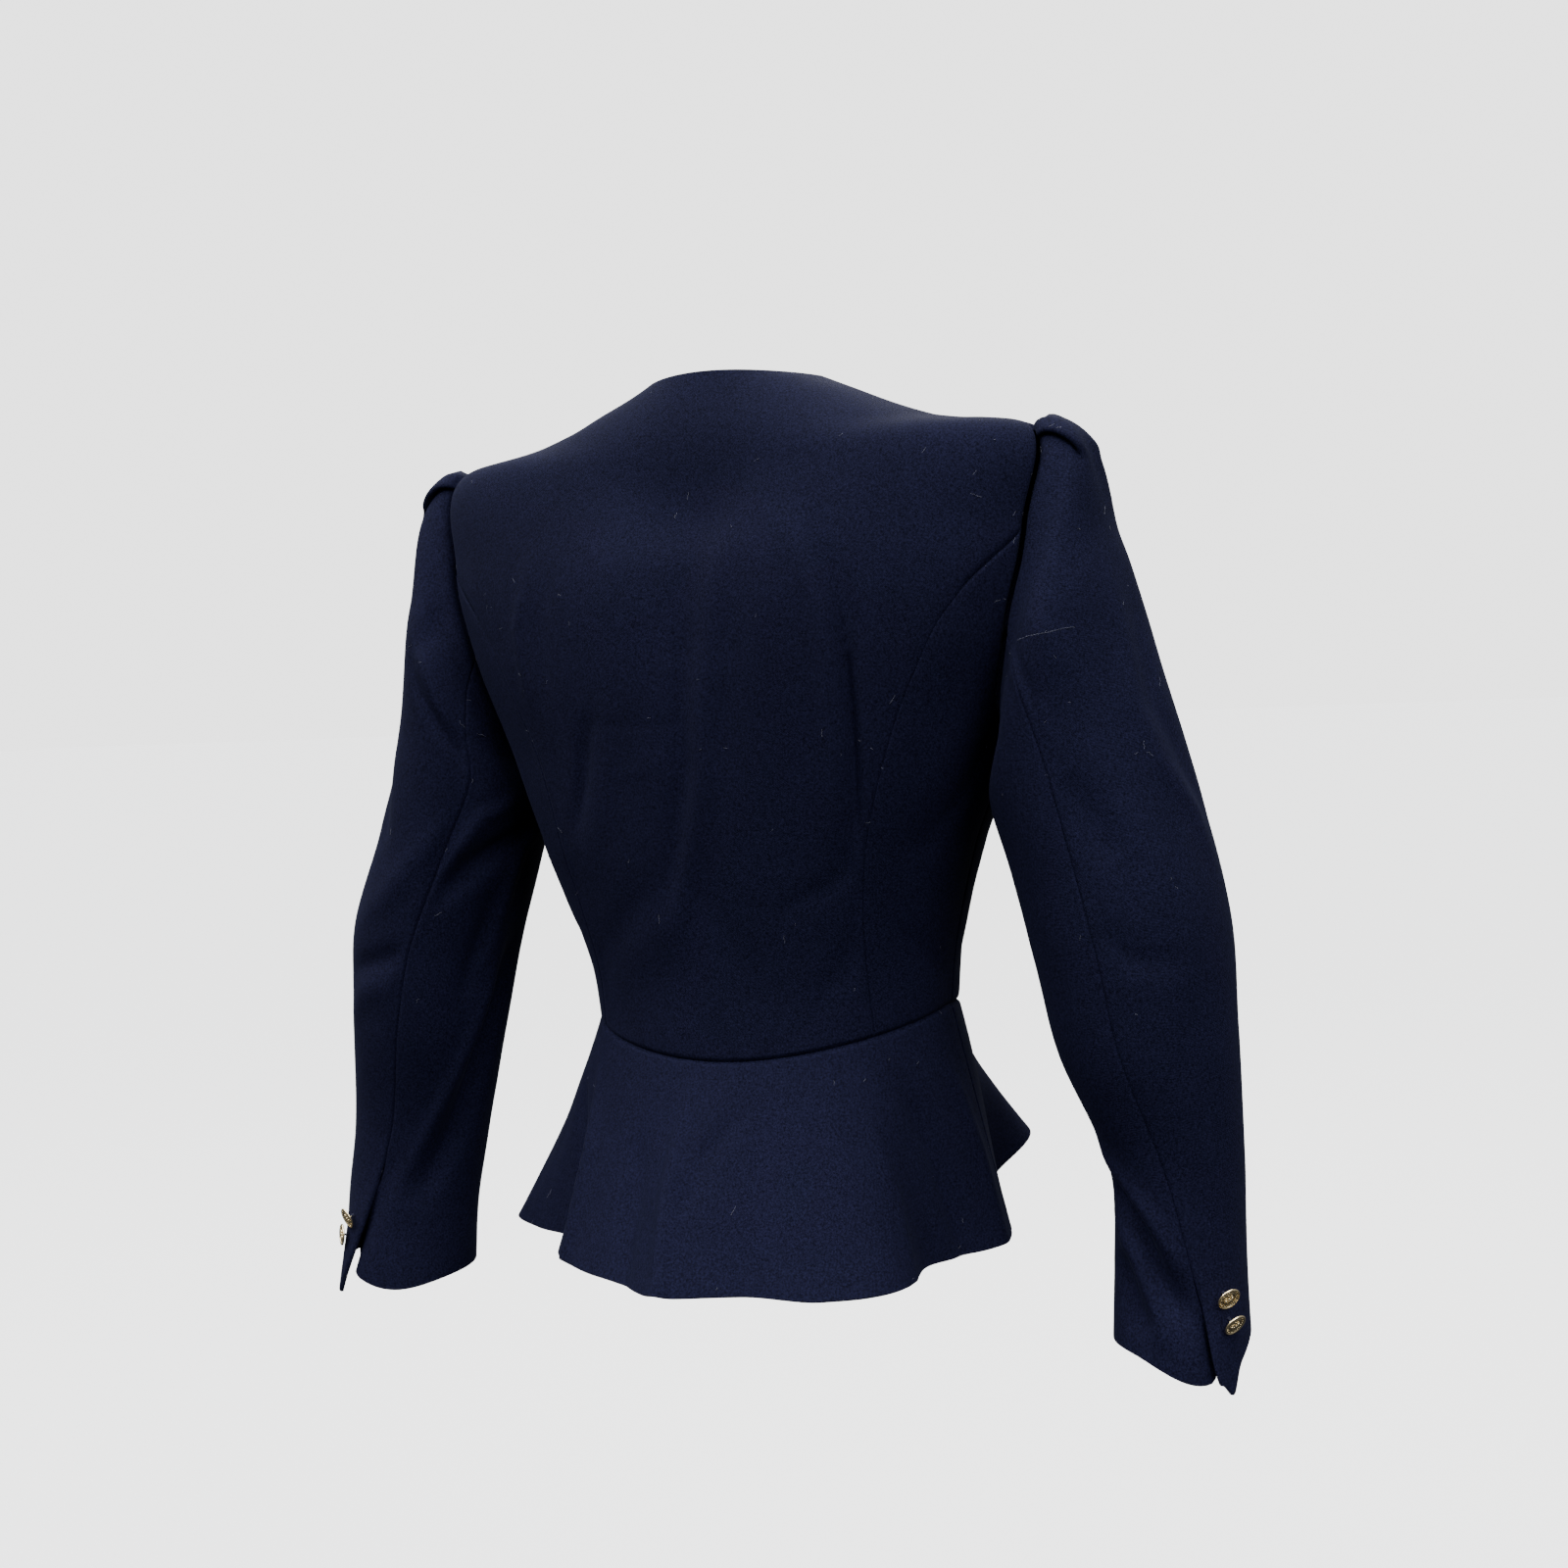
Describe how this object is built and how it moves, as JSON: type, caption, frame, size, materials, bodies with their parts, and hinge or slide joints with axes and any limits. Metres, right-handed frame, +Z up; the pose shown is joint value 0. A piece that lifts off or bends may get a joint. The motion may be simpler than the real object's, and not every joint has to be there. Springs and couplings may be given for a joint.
{
  "type": "peplum blazer",
  "caption": "Fitted collarless peplum blazer in its worn shape, with curved body seams, two-piece sleeves pleated at the head, vented cuffs and gold coloured shank buttons.",
  "frame": {"origin": "centre of the neck opening, level with the top of the shoulder seams, where the wearer's shoulders and neck hold the garment", "axes": "+Z up along the wearer's back, +X to the wearer's left, -Y the way that the wearer faces"},
  "size_m": [0.6561, 0.3198, 0.6212],
  "materials": {
    "suiting": "matt navy suiting with a fine even surface",
    "button_metal": "polished pale gold plating"
  },
  "bodies": {
    "root": {"back_panel": "suiting", "side_back_left": "suiting", "side_back_right": "suiting", "side_front_left": "suiting", "side_front_right": "suiting", "front_left": "suiting", "front_right": "suiting", "peplum_back": "suiting", "peplum_front_left": "suiting", "peplum_front_right": "suiting", "upper_sleeve_left": "suiting", "upper_sleeve_right": "suiting", "under_sleeve_left": "suiting", "under_sleeve_right": "suiting", "front_button_1": "button_metal", "front_button_2": "button_metal", "front_button_3": "button_metal", "front_button_4": "button_metal", "cuff_button_left_1": "button_metal", "cuff_button_left_2": "button_metal", "cuff_button_right_1": "button_metal", "cuff_button_right_2": "button_metal"}
  },
  "joints": []
}
